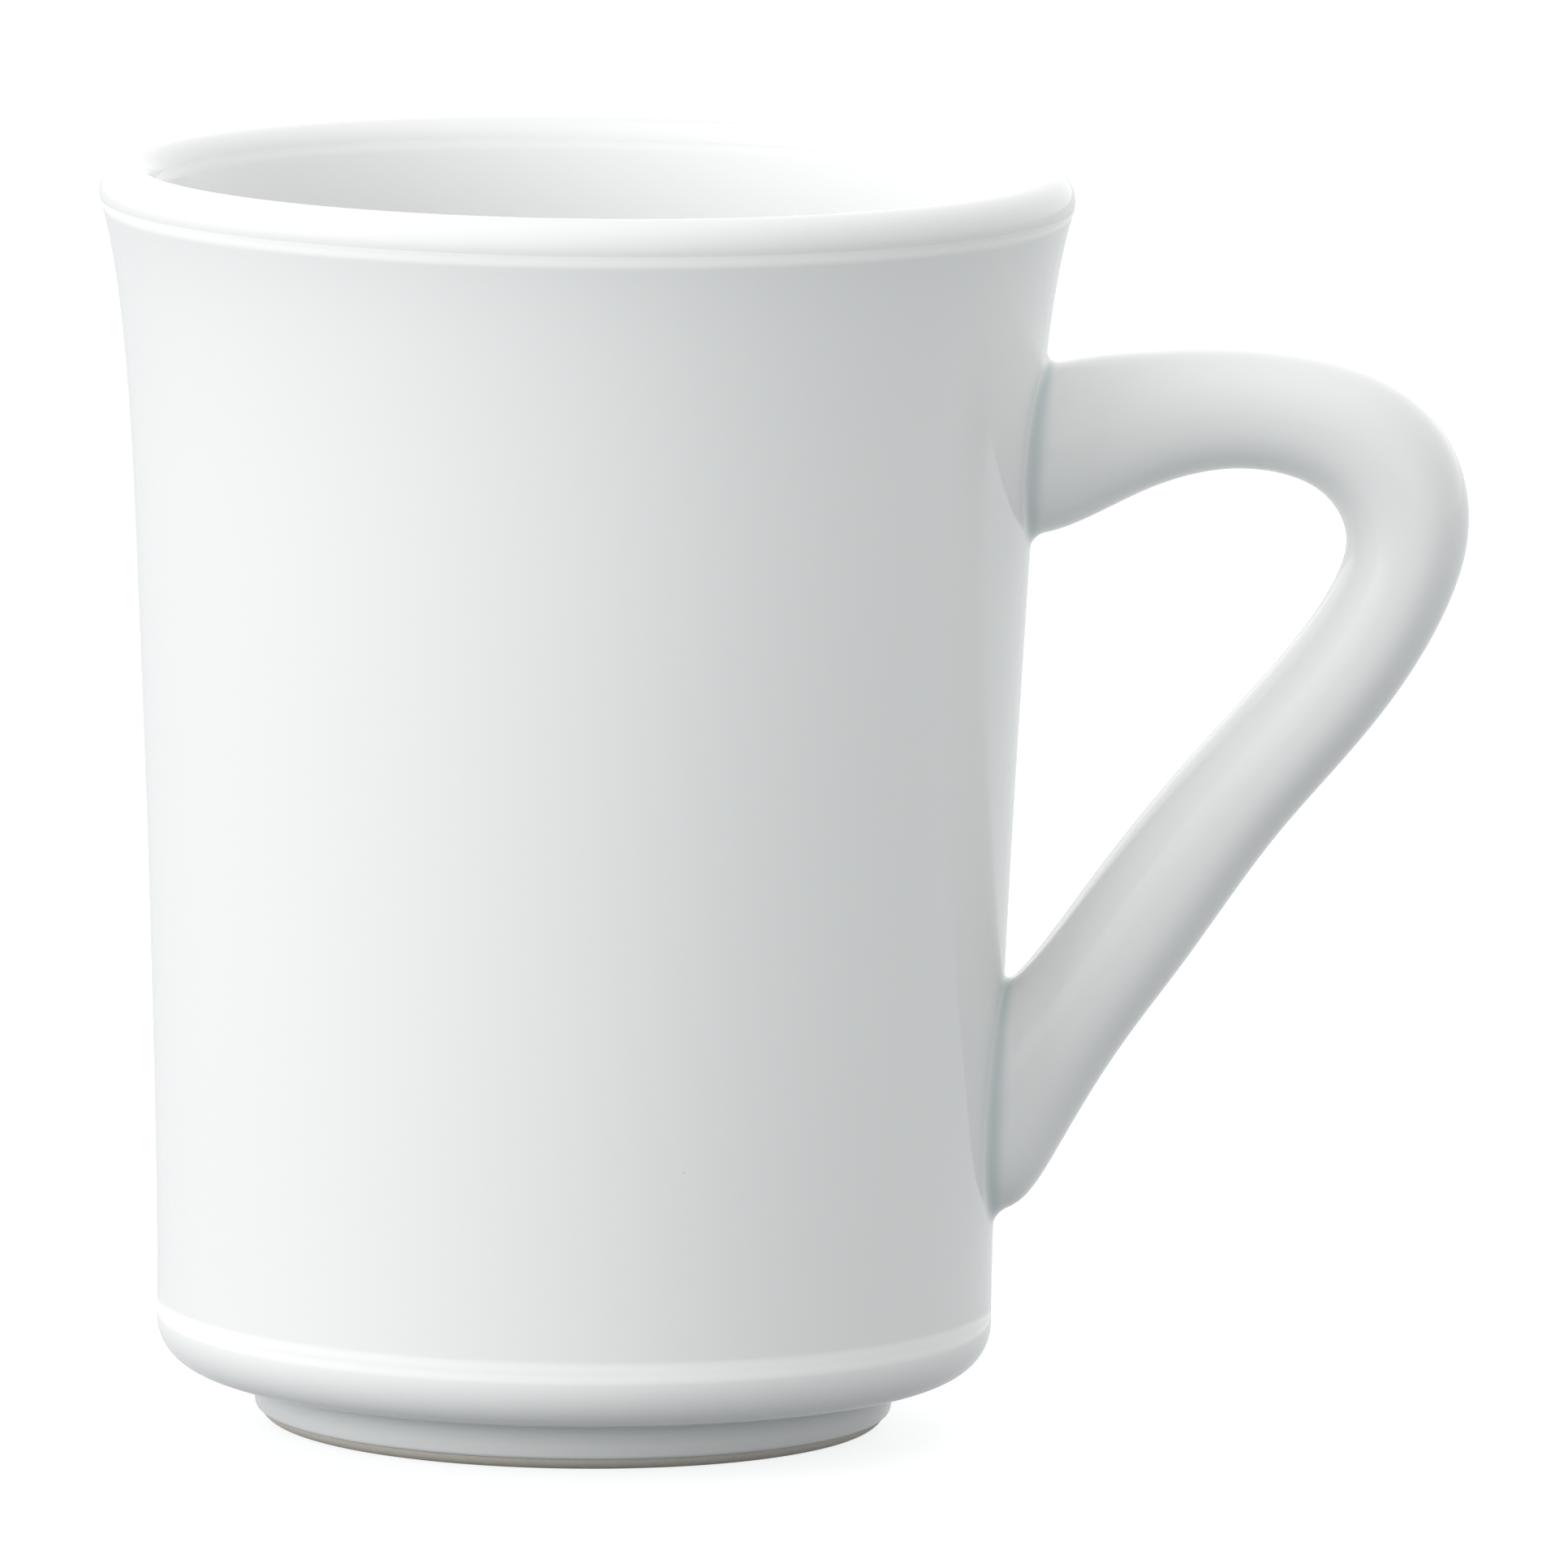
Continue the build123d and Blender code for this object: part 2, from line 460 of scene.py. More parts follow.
    def glazed_down_to_edge(self, coat: Array, clay: Array) -> tuple[Array, Array]:
        """Ends a coat above the bare foot with a rounded bead.

        Over the last glaze_edge millimetres the coat's thickness falls off as a quarter of an ellipse.

        Args:
            coat: the coat's face.
            clay: the clay's face below it.

        Returns:
            Both faces, above the bare foot.
        """
        coat = coat[coat[:, 1] > self.bare_foot_height]
        clay = clay[clay[:, 1] > self.bare_foot_height]
        above = np.clip((coat[:, 1:] - self.bare_foot_height) / self.glaze_edge, 0, 1)
        nearest = clay[np.linalg.norm(coat[:, None] - clay[None], axis=2).argmin(axis=1)]
        thick = np.sqrt(1 - (1 - above) ** 2)
        return nearest + (coat - nearest) * thick, clay

    def wall_radius(self, height: Array, inset: float) -> Array:
        """The outside wall's radius at any height on it."""
        side = self.outside(inset)
        return np.interp(height, side[:, 1], side[:, 0])


# ---------------------------------------------------------------- finishes


def linear(code: str) -> tuple[float, float, float, float]:
    """Turns an sRGB hex colour into the linear colour that shaders take.

    Args:
        code: six hex digits.

    Returns:
        Linear red, green, blue and an alpha of one.
    """
    channels = np.array([int(code[k : k + 2], 16) for k in (0, 2, 4)]) / 255
    low, high = channels / 12.92, ((channels + 0.055) / 1.055) ** 2.4
    return (*np.where(channels <= 0.04045, low, high).tolist(), 1.0)


def add_node(
    tree: bpy.types.NodeTree, kind: str, links: dict | None = None, values: dict | None = None,
    **settings: object,
) -> bpy.types.Node:
    """Adds one node to a material.

    Args:
        tree: the material's node tree.
        kind: the node's type name.
        links: input socket name or number to the output socket that feeds it.
        values: input socket name or number to a constant.
        settings: attributes of the node.

    Returns:
        The new node.
    """
    node = tree.nodes.new(kind)
    for name, value in settings.items():
        setattr(node, name, value)
    for socket, value in (values or {}).items():
        node.inputs[socket].default_value = value
    for socket, source in (links or {}).items():
        tree.links.new(source, node.inputs[socket])
    return node


def new_material(name: str) -> bpy.types.Material:
    """A material with an empty node tree.

    Args:
        name: the finish's name.

    Returns:
        The material.
    """
    material = bpy.data.materials.new(name)
    material.use_nodes = True
    material.node_tree.nodes.clear()
    return material


@dataclass(frozen=True)
class GlossGlaze:
    """Feldspathic gloss glaze: clear glass fired onto white porcelain at about 1300 C.

    The glass levels itself as it melts, so the surface is mirror smooth but for a faint slow ripple.
    Where it pools in a crease it is thicker and looks a little cooler, and its darker pooled tint
    also paints the crease's shade into the colour. A few specks of iron and pinholes show in it.
    """

    name: str
    body_hex: str = "EFF0EF"
    pooled_and_crease_shade_hex: str = "C9D2D3"
    speck_hex: str = "8E8A82"
    roughness: float = 0.06
    glass_ior: float = 1.52
    ripple_size_mm: float = 11.0
    ripple_depth_mm: float = 0.02
    speck_spacing_mm: float = 9.0
    speck_radius_mm: float = 0.16
    speck_share: float = 0.3

    def build(self) -> bpy.types.Material:
        """Makes the material: body colour, a pooled tint that also paints crease shade, and specks
        under a rippled gloss surface.
        """
        material = new_material(self.name)
        tree = material.node_tree
        place = add_node(tree, "ShaderNodeTexCoord").outputs["Object"]
        # The pooled tint is glaze pooling in creases and also painted shade there, darker than the body.
        pool_and_shade = add_node(tree, "ShaderNodeAttribute", attribute_name="glaze_pool_and_crease_shade").outputs["Fac"]
        pool_tinted_and_shaded = add_node(
            tree, "ShaderNodeMix", {"Factor": pool_and_shade},
            {6: linear(self.body_hex), 7: linear(self.pooled_and_crease_shade_hex)}, data_type="RGBA",
        ).outputs[2]
        cells = add_node(
            tree, "ShaderNodeTexVoronoi", {"Vector": place}, {"Scale": 1 / (self.speck_spacing_mm * MM)},
        )
        near = add_node(
            tree, "ShaderNodeMath", {0: cells.outputs["Distance"]},
            {1: self.speck_radius_mm / self.speck_spacing_mm}, operation="LESS_THAN",
        ).outputs[0]
        chance = add_node(tree, "ShaderNodeSeparateColor", {"Color": cells.outputs["Color"]}).outputs[0]
        chosen = add_node(
            tree, "ShaderNodeMath", {0: chance}, {1: self.speck_share}, operation="LESS_THAN",
        ).outputs[0]
        speck = add_node(tree, "ShaderNodeMath", {0: near, 1: chosen}, operation="MULTIPLY").outputs[0]
        colour = add_node(
            tree, "ShaderNodeMix", {"Factor": speck, 6: pool_tinted_and_shaded}, {7: linear(self.speck_hex)},
            data_type="RGBA",
        ).outputs[2]
        ripple = add_node(
            tree, "ShaderNodeTexNoise", {"Vector": place},
            {"Scale": 1 / (self.ripple_size_mm * MM), "Detail": 1.0, "Roughness": 0.4},
        ).outputs["Fac"]
        surface = add_node(
            tree, "ShaderNodeBump", {"Height": ripple},
            {"Strength": 1.0, "Distance": self.ripple_depth_mm * MM},
        ).outputs["Normal"]
        shader = add_node(
            tree, "ShaderNodeBsdfPrincipled", {"Base Color": colour, "Normal": surface},
            {"Roughness": self.roughness, "IOR": self.glass_ior},
        )
        add_node(tree, "ShaderNodeOutputMaterial", {"Surface": shader.outputs[0]})
        return material


@dataclass(frozen=True)
class FiredPorcelain:
    """Bare vitrified porcelain, jiggered or slip cast, then fired without glaze.

    It is matte and faintly warm, with a fine sandy tooth, and its colour turns greyer towards
    the very bottom of the foot's resting edge.
    """

    name: str
    body_hex: str = "DDD8CF"
    grain_hex: str = "C8C1B5"
    bottom_grey_hex: str = "A9A49C"
    roughness: float = 0.62
    grain_mm: float = 0.35
    grain_depth_mm: float = 0.012
    grey_below_mm: float = 0.25

    def build(self) -> bpy.types.Material:
        """Makes the material: a sandy body, greyer towards the very bottom."""
        material = new_material(self.name)
        tree = material.node_tree
        place = add_node(tree, "ShaderNodeTexCoord").outputs["Object"]
        grain = add_node(
            tree, "ShaderNodeTexNoise", {"Vector": place},
            {"Scale": 1 / (self.grain_mm * MM), "Detail": 3.0, "Roughness": 0.6},
        ).outputs["Fac"]
        sandy = add_node(
            tree, "ShaderNodeMix", {"Factor": grain},
            {6: linear(self.body_hex), 7: linear(self.grain_hex)}, data_type="RGBA",
        ).outputs[2]
        # The colour turns greyer over the lowest quarter millimetre, darkest at the very bottom.
        height = add_node(tree, "ShaderNodeSeparateXYZ", {"Vector": place}).outputs["Z"]
        greyed_bottom = add_node(
            tree, "ShaderNodeMapRange", {"Value": height},
            {"From Min": 0.0, "From Max": self.grey_below_mm * MM, "To Min": 0.8, "To Max": 0.0},
        ).outputs[0]
        colour = add_node(
            tree, "ShaderNodeMix", {"Factor": greyed_bottom, 6: sandy}, {7: linear(self.bottom_grey_hex)},
            data_type="RGBA",
        ).outputs[2]
        tooth = add_node(
            tree, "ShaderNodeBump", {"Height": grain},
            {"Strength": 1.0, "Distance": self.grain_depth_mm * MM},
        ).outputs["Normal"]
        shader = add_node(
            tree, "ShaderNodeBsdfPrincipled", {"Base Color": colour, "Normal": tooth},
            {"Roughness": self.roughness},
        )
        add_node(tree, "ShaderNodeOutputMaterial", {"Surface": shader.outputs[0]})
        return material


FINISHES = {
    Slot.PORCELAIN: FiredPorcelain("bare_fired_porcelain"),
    Slot.SLIP: FiredPorcelain("fired_joining_slip", body_hex="E2DED6"),
    Slot.OUTER_GLAZE: GlossGlaze("dipped_gloss_glaze"),
    Slot.INNER_GLAZE: GlossGlaze("poured_gloss_glaze"),
}


class Dresser:
    """Gives pieces their finish, hides the frame's nodes that they replace, and hangs them on the root.
    """

    def __init__(self) -> None:
        """Starts with no material made."""
        self.made: dict[Slot, bpy.types.Material] = {}

    def dress(self, piece: bpy.types.Object, slot: Slot, *nodes: str) -> bpy.types.Object:
        """Finishes a piece and lets it stand for its nodes.

        Args:
            piece: the piece, at rest in the row's frame.
            slot: the material slot it takes its finish from.
            nodes: the frame's nodes that it replaces.

        Returns:
            The piece.
        """
        if slot not in self.made:
            self.made[slot] = FINISHES[slot].build()
        piece.data.materials.append(self.made[slot])
        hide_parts(*nodes)
        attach(piece, ROOT)
        LOG.info("%s: %d faces, %s", piece.name, len(piece.data.polygons), slot.value)
        return piece


# ---------------------------------------------------------------- sub-assemblies


@dataclass(frozen=True)
class TurnedCup:
    """The cup's clay and the coats on its outside, its inside and its underside."""

    shape: CupShape
    columns: int = 288
    clay_spacing: float = 3.0
    # Reaches of the darker pooled tint round the foot, floor and recess creases: glaze pooling, and also
    # painted shade.
    foot_pool_and_shade_reach: float = 1.3
    floor_pool_and_shade_reach: float = 6.0
    recess_pool_and_shade_reach: float = 1.5

    def clay(self) -> bpy.types.Object:
        """The cup's clay: one outline from the axis underneath round to the axis inside."""
        shape, inset = self.shape, self.shape.glaze
        lip = shape.lip(-shape.lip_flare_deg, 180 - shape.lip_flare_deg, inset)
        parts = [shape.underside(inset), shape.outside(inset), lip, shape.inside(inset)]
        outline = filled_in(np.concatenate(parts), self.clay_spacing)
        return capped_mesh(
            "cup_clay", turned(outline[1:-1], self.columns), pole(outline[0]), pole(outline[-1])
        )

    def outside_coat(self) -> bpy.types.Object:
        """The coat from the bare foot up the outside to the lip's top, closed by its clay side."""
        shape = self.shape
        coat, clay = shape.glazed_down_to_edge(shape.outer_face(0), shape.outer_face(shape.glaze))
        outline = np.concatenate([coat, clay[::-2]])
        crease = (shape.foot_top_radius, shape.underside_height)
        pooled_and_shaded = self.crease_pool_and_shade(outline, crease, self.foot_pool_and_shade_reach)
        return ring_mesh("cup_outside_coat", turned(outline, self.columns), pooled_and_shaded)

    def inside_coat(self) -> bpy.types.Object:
        """The coat from the lip's top down the inside and over the floor."""
        shape = self.shape
        clay = shape.inner_face(shape.glaze)[::-1]
        coat = shape.inner_face(0)
        outline = np.concatenate([clay[:-1:2], clay[-1:], coat])
        crease = (shape.lower_wall_radius - shape.wall_thickness, shape.floor_height)
        pooled_and_shaded = self.crease_pool_and_shade(outline, crease, self.floor_pool_and_shade_reach)
        return capped_mesh(
            "cup_inside_coat", turned(outline[1:-1], self.columns), pole(outline[0]), pole(outline[-1]),
            pooled_and_shaded[1:-1],
        )

    def underside_coat(self) -> bpy.types.Object:
        """The disc of glaze inside the foot ring."""
        shape = self.shape
        rest = (shape.foot_inner_radius + shape.foot_rest_radius) / 2
        faces = [shape.underside(inset) for inset in (0, shape.glaze)]
        coat, clay = shape.glazed_down_to_edge(*(face[face[:, 0] < rest] for face in faces))
        outline = np.concatenate([coat, clay[::-1]])
        crease = (shape.foot_inner_radius, shape.recess_height)
        pooled_and_shaded = self.crease_pool_and_shade(outline, crease, self.recess_pool_and_shade_reach)
        return capped_mesh(
            "cup_underside_coat", turned(outline[1:-1], self.columns), pole(outline[0]),
            pole(outline[-1]), pooled_and_shaded[1:-1],
        )

    def crease_pool_and_shade(self, outline: Array, crease: tuple[float, float], reach: float) -> Array:
        """How much glaze pools, and shade is painted, round a crease: a bell of the distance to it.

        Args:
            outline: radius and height, one point per row.
            crease: the crease's radius and height.
            reach: the distance over which the pooling and painted shade fade.

        Returns:
            Pooling and painted shade by row and column.
        """
        away = np.linalg.norm(outline - np.array(crease), axis=1)
        return np.repeat(np.exp(-((away / reach) ** 2))[:, None], self.columns, axis=1)

    def build(self, dresser: Dresser) -> None:
        """Makes and finishes the cup's four pieces."""
        dresser.dress(self.clay(), Slot.PORCELAIN, "cup_body")
        dresser.dress(self.outside_coat(), Slot.OUTER_GLAZE, "outside_glaze")
        dresser.dress(self.inside_coat(), Slot.INNER_GLAZE, "inside_glaze")
        dresser.dress(self.underside_coat(), Slot.OUTER_GLAZE, "underside_glaze")


@dataclass(frozen=True)
class HandleLoop:
    """The cast handle, its coat, and the slip that fixes both of its roots to the wall.

    Each rib is a section of the loop over its glaze, given by x and z of its outer edge and of its
    inner edge, from inside the upper wall round to inside the lower wall.
    """

    cup: CupShape
    width: float = 13.3
    squareness: float = 2.35
    ribs: tuple[Rib, ...] = (
        ((30.5, 83.5), (30.5, 70.6)),
        ((35.8, 84.0), (36.2, 70.9)),
        ((39.2, 84.6), (39.6, 72.2)),
        ((43.6, 85.1), (44.2, 74.5)),
        ((49.8, 85.4), (50.0, 76.1)),
        ((56.7, 84.8), (54.6, 75.8)),
        ((63.4, 82.5), (57.5, 74.5)),
        ((67.8, 78.0), (59.1, 72.6)),
        ((69.2, 71.7), (59.6, 70.1)),
        ((67.4, 65.0), (58.5, 66.8)),
        ((62.0, 56.2), (54.4, 60.9)),
        ((54.7, 47.4), (47.4, 52.8)),
        ((47.4, 37.0), (39.8, 43.0)),
        ((41.2, 28.1), (34.0, 35.4)),
        ((38.2, 22.9), (32.0, 33.2)),
        ((36.4, 19.8), (31.0, 30.9)),
        ((34.6, 17.8), (30.0, 29.6)),
        ((32.4, 17.0), (29.0, 29.0)),
        ((29.0, 16.7), (28.0, 28.6)),
    )
    edge_fillet: float = 1.1
    side_fillet: float = 1.8
    slip_pad: float = 0.4
    buried: float = 0.05
    columns: int = 128
    clay_rows: int = 220
    coat_rows: int = 440
    coat_lining_rows: int = 150
    fillet_rows: int = 24
    slip_side_rows: int = 10
    slip_pad_rows: int = 14
    search: int = 1500

    def section(self, steps: Array, inset: float) -> tuple[Array, Array]:
        """The loop's plain surface and its centre line.

        A section is a superellipse: |x / half thickness|^n + |y / half width|^n = 1, with x from the
        inner edge to the outer edge and y along the row's Y axis.

        Args:
            steps: places along the loop by column, from 0 to 1, as rows by columns.
            inset: how deep under the glaze.

        Returns:
            Surface points and centre points, both by row and column.
        """
        edges = np.array([[*outer, *inner] for outer, inner in self.ribs])
        at = spline(edges, steps.ravel()).reshape(*steps.shape, 4)
        outer, inner = at[..., :2], at[..., 2:]
        centre = (outer + inner) / 2
        half = np.linalg.norm(outer - inner, axis=-1) / 2 - inset
        across = unit(outer - inner)
        angle = np.linspace(0, 2 * math.pi, self.columns, endpoint=False)
        power = 2 / self.squareness
        cosine = np.sign(np.cos(angle)) * np.abs(np.cos(angle)) ** power
        sine = np.sign(np.sin(angle)) * np.abs(np.sin(angle)) ** power
        flat = centre + across * (half * cosine)[..., None]
        depth = np.broadcast_to((self.width / 2 - inset) * sine, half.shape)
        surface = np.stack([flat[..., 0], depth, flat[..., 1]], axis=-1)
        middle = np.stack([centre[..., 0], 0 * depth, centre[..., 1]], axis=-1)
        return surface, middle

    def clearance(self, points: Array, inset: float) -> Array:
        """How far points stand off the wall."""
        return np.hypot(points[..., 0], points[..., 1]) - self.cup.wall_radius(points[..., 2], inset)

    def landings(self, inset: float, off: float) -> tuple[Array, Array]:
        """Where each column of the loop leaves the wall and comes back to it.

        Args:
            inset: how deep under the glaze.
            off: the distance off the wall that counts as landing.

        Returns:
            The first and last place along the loop, for each column.
        """
        steps = np.linspace(0, 1, self.search)
        surface, _ = self.section(np.repeat(steps[:, None], self.columns, axis=1), inset)
        above = self.clearance(surface, inset) - off
        column = np.arange(self.columns)
        found = []
        for row in ((above > 0).argmax(axis=0), self.search - 1 - (above[::-1] > 0).argmax(axis=0)):
            low = np.where(row < self.search // 2, row - 1, row)
            a, b = above[low, column], above[low + 1, column]
            found.append(steps[low] + (steps[1] - steps[0]) * a / (a - b))
        return found[0], found[1]

    def fillet(self, inset: float) -> Array:
        """The fillet's radius for each column: tighter above and below than at the sides."""
        angle = np.linspace(0, 2 * math.pi, self.columns, endpoint=False)
        return self.edge_fillet + (self.side_fillet - self.edge_fillet) * np.sin(angle) ** 2 + inset

    def onto_wall(self, points: Array, off: Array, inset: float) -> Array:
        """Moves points straight out from or in to the axis, to a distance off the wall."""
        around = unit(points[..., :2])
        radius = self.cup.wall_radius(points[..., 2], inset) + off
        return np.concatenate([around * radius[..., None], points[..., 2:]], axis=-1)

    def flared(self, steps: Array, inset: float) -> tuple[Array, Array]:
        """The loop's surface with a fillet onto the wall at both roots.

        At a distance d off the wall, a point moves along the wall, away from the section's centre, by
        r - sqrt(r^2 - (r - d)^2): a quarter circle that leaves the loop and meets the wall smoothly.

        Args:
            steps: places along the loop, as rows by columns.
            inset: how deep under the glaze.

        Returns:
            Surface points, and how far along the fillet each is, from 0 at the wall to 1 off it.
        """
        surface, centre = self.section(steps, inset)
        off = np.maximum(self.clearance(surface, inset), 0)
        radius = np.broadcast_to(self.fillet(inset), off.shape)
        short = np.clip(radius - off, 0, radius)
        spread = radius - np.sqrt(np.maximum(radius**2 - short**2, 0))
        outward = np.concatenate([unit(surface[..., :2]), 0 * off[..., None]], axis=-1)
        away = surface - centre
        along = unit(away - outward * (away * outward).sum(axis=-1, keepdims=True))
        moved = self.onto_wall(surface + along * spread[..., None], off, inset)
        filleted = np.where(short[..., None] > 0, moved, surface)
        return filleted, np.clip(off / radius, 0, 1)

    def rows(self, inset: float, count: int, off: float = 0.0) -> Array:
        """Places along the loop for each column, crowded towards both landings.

        Args:
            inset: how deep under the glaze.
            count: how many rows.
            off: the distance off the wall where the rows start and end.

        Returns:
            Places as rows by columns.
        """
        first, last = self.landings(inset, off)
        share = (1 - np.cos(np.linspace(0, math.pi, count))) / 2
        return first + (last - first) * share[:, None]

    def clay(self) -> bpy.types.Object:
        """The cast handle, from one slip pad to the other."""
        glaze = self.cup.glaze
        surface, centre = self.section(self.rows(glaze, self.clay_rows, self.slip_pad), glaze)
        return capped_mesh("handle_clay", surface, centre[0].mean(axis=0), centre[-1].mean(axis=0))

    def coat(self) -> bpy.types.Object:
        """The handle's coat: its glossy side with both skirts, and back along its clay side."""
        glaze = self.cup.glaze
        outer, along = self.flared(self.rows(0, self.coat_rows), 0)
        inner, _ = self.flared(self.rows(glaze, self.coat_lining_rows), glaze)
        edges = [self.onto_wall(outer[k], np.full(self.columns, -self.buried), 0) for k in (0, -1)]
        grid = np.concatenate([edges[0][None], outer, edges[1][None], inner[::-1]])
        # The darker pooled tint peaks halfway up each root's fillet: glaze pooling, and also painted
        # shade in the crease.
        pooled_and_shaded = np.sin(math.pi * np.sqrt(along)) ** 2
        fill = np.zeros((len(inner) + 1, self.columns))
        pool_and_shade = np.concatenate([fill[:1], pooled_and_shaded, fill])
        return ring_mesh("handle_coat", grid[:, ::-1], pool_and_shade[:, ::-1])

    def slip(self, root: Root) -> bpy.types.Object:
        """The slip at one root: a pad on the wall and the fillet squeezed out round the handle.

        The rows go from the wall's middle out to the fillet's rim, up the fillet, back down the
        handle's side to the pad, and in to the pad's middle.

        Args:
            root: which root.

        Returns:
            The new object.
        """
        glaze = self.cup.glaze
        landing = self.landings(glaze, 0)
        reach = self.landings(glaze, float(self.fillet(glaze).max()))
        pad = self.landings(glaze, self.slip_pad)
        side = 0 if root is Root.UPPER else 1
        rise = np.sin(np.linspace(0, math.pi / 2, self.fillet_rows))[:, None] ** 2
        up, _ = self.flared(landing[side] + (reach[side] - landing[side]) * rise, glaze)
        fall = np.linspace(1, 0, self.slip_side_rows)[1:, None]
        down, _ = self.section(pad[side] + (reach[side] - pad[side]) * fall, glaze)
        spokes = np.linspace(0, 1, self.slip_pad_rows)[1:-1, None, None]
        floor_middle, pad_middle = up[0].mean(axis=0), down[-1].mean(axis=0)
        on_wall = np.zeros((len(spokes), self.columns))
        bottom = self.onto_wall(floor_middle + (up[0] - floor_middle) * spokes, on_wall, glaze)
        top = self.onto_wall(
            pad_middle + (down[-1] - pad_middle) * spokes[::-1], on_wall + self.slip_pad, glaze
        )
        grid = np.concatenate([bottom, up, down, top])
        first = self.onto_wall(floor_middle[None], np.zeros(1), glaze)[0]
        last = self.onto_wall(pad_middle[None], np.full(1, self.slip_pad), glaze)[0]
        if root is Root.UPPER:
            grid = grid[:, ::-1]
        name = root.value.replace("_joint", "")
        return capped_mesh(name, grid, first, last)

    def build(self, dresser: Dresser) -> None:
        """Makes and finishes the handle's four pieces."""
        dresser.dress(self.clay(), Slot.PORCELAIN, "handle")
        for root in Root:
            dresser.dress(self.slip(root), Slot.SLIP, root.value)
        dresser.dress(self.coat(), Slot.OUTER_GLAZE, "handle_glaze")


# ---------------------------------------------------------------- studio


@dataclass(frozen=True)
class SoftLight:
    """One soft box: a glowing rectangle aimed at the mug, and too diffuse to be mirrored in it."""

    name: str
    place: tuple[float, float, float]
    size: tuple[float, float]
    power: float

    def build(self, aim: Vector) -> bpy.types.Object:
        """Hangs the soft box.

        Args:
            aim: the point that it faces.

        Returns:
            The light's object.
        """
        data = bpy.data.lights.new(self.name, "AREA")
        data.shape = "RECTANGLE"
        data.size, data.size_y = self.size
        data.energy = self.power
        lamp = bpy.data.objects.new(self.name, data)
        lamp.visible_glossy = False
        bpy.context.scene.collection.objects.link(lamp)
        lamp.location = self.place
        lamp.rotation_euler = (aim - Vector(self.place)).to_track_quat("-Z", "Y").to_euler()
        return lamp


@dataclass(frozen=True)
class Studio:
    """A white table in a bright room, with soft boxes to the left, overhead and behind.

    The camera sees the table glow at full strength, and the glaze mirrors mirrored_share of it. The
    table itself is a mid grey, so that it throws little light up under the mug.
    """

    table_size: float = 9.0
    table_hex: str = "F4F5F5"
    table_shade_hex: str = "8A8D90"
    table_roughness: float = 0.6
    table_glow: float = 0.9
    mirrored_share: float = 0.6
    room_hex: str = "FAFBFB"
    room_strength: float = 1.3
    dim_right: float = 0.13
    dim_top: float = 0.47
    lights: tuple[SoftLight, ...] = (
        SoftLight("left_soft_box", (-1.4, -1.0, 0.6), (1.2, 1.2), 13.8),
        SoftLight("overhead_soft_box", (-0.1, 0.3, 1.5), (1.3, 1.3), 3.0),
        SoftLight("back_soft_box", (0.7, 2.1, 0.7), (2.2, 1.3), 9.0),
    )

    def table(self) -> bpy.types.Object:
        """The table: a wide white sheet at the foot's height, which also glows."""
        half = self.table_size / 2 / MM
        corners = np.array([[-half, -half, 0], [half, -half, 0], [half, half, 0], [-half, half, 0]])
        sheet = write_mesh("white_table", corners, np.array([[0, 1, 2, 3]]))
        material = new_material("white_table_laminate")
        tree = material.node_tree
        path = add_node(tree, "ShaderNodeLightPath").outputs
        mirrored = add_node(
            tree, "ShaderNodeMath", {0: path["Is Glossy Ray"]}, {1: self.mirrored_share},
            operation="MULTIPLY",
        ).outputs[0]
        seen = add_node(
            tree, "ShaderNodeMath", {0: path["Is Camera Ray"], 1: mirrored}, operation="MAXIMUM",
        ).outputs[0]
        glow = add_node(
            tree, "ShaderNodeMath", {0: seen}, {1: self.table_glow}, operation="MULTIPLY",
        ).outputs[0]
        shader = add_node(
            tree, "ShaderNodeBsdfPrincipled", {"Emission Strength": glow},
            {
                "Base Color": linear(self.table_shade_hex), "Roughness": self.table_roughness,
                "Emission Color": linear(self.table_hex),
            },
        )
        add_node(tree, "ShaderNodeOutputMaterial", {"Surface": shader.outputs[0]})
        sheet.data.materials.append(material)
        sheet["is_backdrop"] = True
        return sheet

    def room(self) -> None:
        """The room's light, which is dimmer overhead and a little dimmer on the handle's side.

        Its strength is room_strength * (1 - dim_right * x - dim_top * z), for a direction (x, y, z).
        """
        world = bpy.data.worlds.new("bright_room")
        world.use_nodes = True
        tree = world.node_tree
        direction = add_node(tree, "ShaderNodeTexCoord").outputs["Generated"]
        parts = add_node(tree, "ShaderNodeSeparateXYZ", {"Vector": direction}).outputs
        sideways = add_node(
            tree, "ShaderNodeMath", {0: parts["X"]},
            {1: -self.dim_right * self.room_strength, 2: self.room_strength}, operation="MULTIPLY_ADD",
        ).outputs[0]
        strength = add_node(
            tree, "ShaderNodeMath", {0: parts["Z"], 2: sideways},
            {1: -self.dim_top * self.room_strength}, operation="MULTIPLY_ADD",
        ).outputs[0]
        background = tree.nodes["Background"]
        background.inputs["Color"].default_value = linear(self.room_hex)
        tree.links.new(strength, background.inputs["Strength"])
        bpy.context.scene.world = world

    def build(self, aim: Vector) -> None:
        """Sets up the table, the room and the soft boxes."""
        self.table()
        self.room()
        for light in self.lights:
            light.build(aim)
        bpy.context.scene.view_settings.view_transform = "Standard"


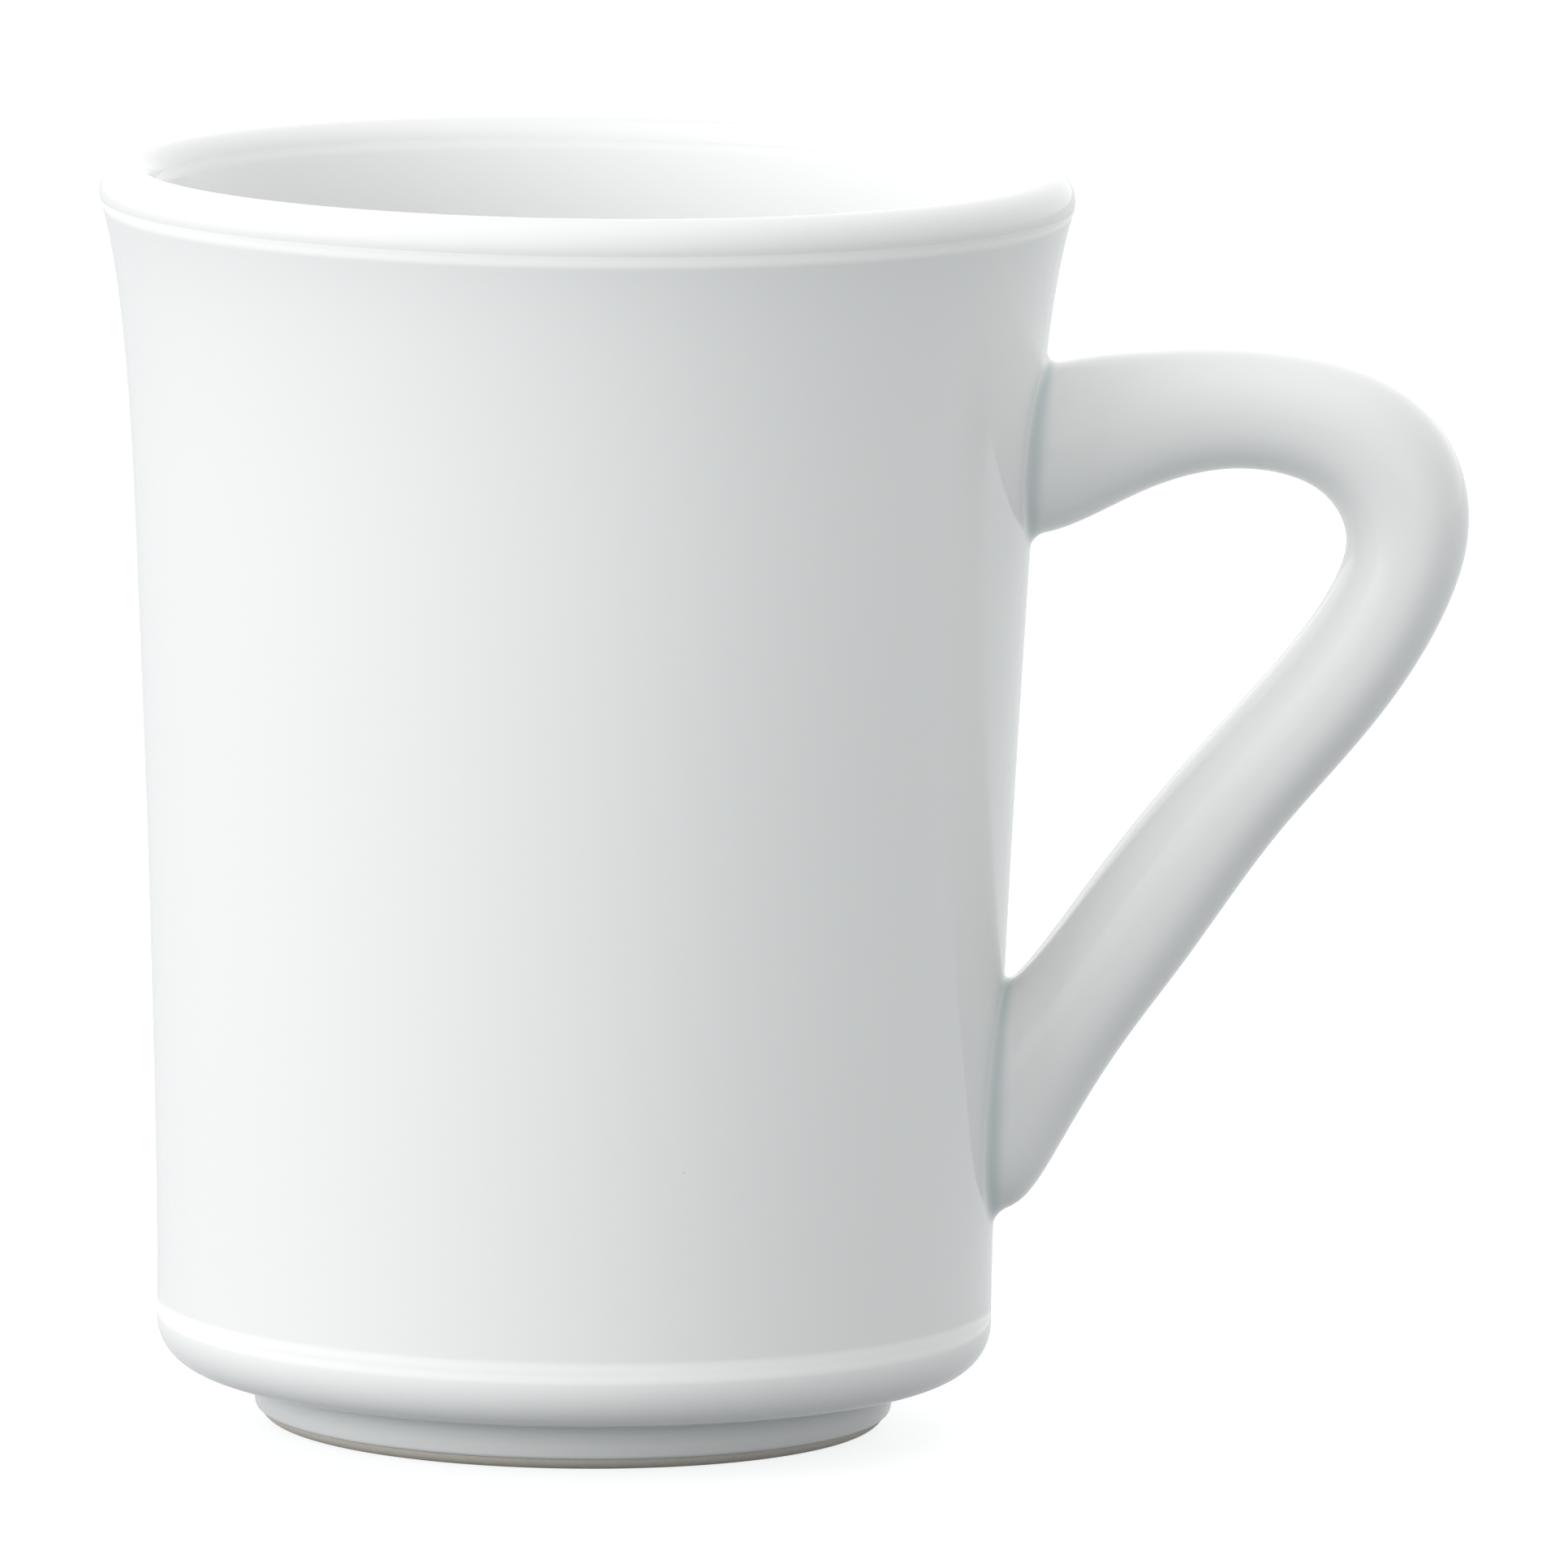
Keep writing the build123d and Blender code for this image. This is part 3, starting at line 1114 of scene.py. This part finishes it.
@dataclass(frozen=True)
class LongLens:
    """A camera far off on a long lens, a little above the rim and turned slightly to the handle."""

    aim_offset: tuple[float, float, float] = (0.0004, 0.0, 0.0011)
    distance: float = 1.6657
    elevation_deg: float = 8.04
    azimuth_deg: float = 1.5
    pan_deg: float = 0.56
    roll_deg: float = 0.77
    focal_length: float = 488.3
    nearest: float = 0.1
    farthest: float = 60.0

    def build(self, middle: Vector) -> bpy.types.Object:
        """Places the camera on its aim line.

        Args:
            middle: the middle of the mug's box.

        Returns:
            The camera's object.
        """
        tilt = math.radians(self.elevation_deg)
        heading = math.radians(self.azimuth_deg - self.pan_deg)
        roll = math.radians(self.roll_deg)
        ahead = Vector((
            -math.sin(heading) * math.cos(tilt),
            math.cos(heading) * math.cos(tilt),
            -math.sin(tilt),
        ))
        level = Vector((math.cos(heading), math.sin(heading), 0.0))
        upright = level.cross(ahead)
        right = level * math.cos(roll) + upright * math.sin(roll)
        up = upright * math.cos(roll) - level * math.sin(roll)
        data = bpy.data.cameras.new("long_lens")
        data.lens = self.focal_length
        data.clip_start, data.clip_end = self.nearest, self.farthest
        camera = bpy.data.objects.new("long_lens", data)
        bpy.context.scene.collection.objects.link(camera)
        turn = Matrix((right, up, -ahead)).transposed()
        aim = middle + Vector(self.aim_offset)
        camera.matrix_world = Matrix.Translation(aim - ahead * self.distance) @ turn.to_4x4()
        bpy.context.scene.camera = camera
        return camera


def box_numbers(box: tuple[Vector, Vector]) -> list[list[float]]:
    """A box as plain lists of numbers."""
    return [[float(v) for v in corner] for corner in box]


def main() -> None:
    """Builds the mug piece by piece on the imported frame, then the studio and the camera."""
    logging.basicConfig(level=logging.INFO, format="%(name)s: %(message)s")
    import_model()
    frame_box = box_numbers(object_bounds())
    low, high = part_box("outside_glaze")
    shape = CupShape(height=high.z / MM, rim_radius=high.x / MM)
    dresser = Dresser()
    TurnedCup(shape).build(dresser)
    HandleLoop(shape).build(dresser)
    middle = (Vector(frame_box[0]) + Vector(frame_box[1])) / 2
    Studio().build(middle)
    LongLens().build(middle)


if __name__ == "__main__":
    main()
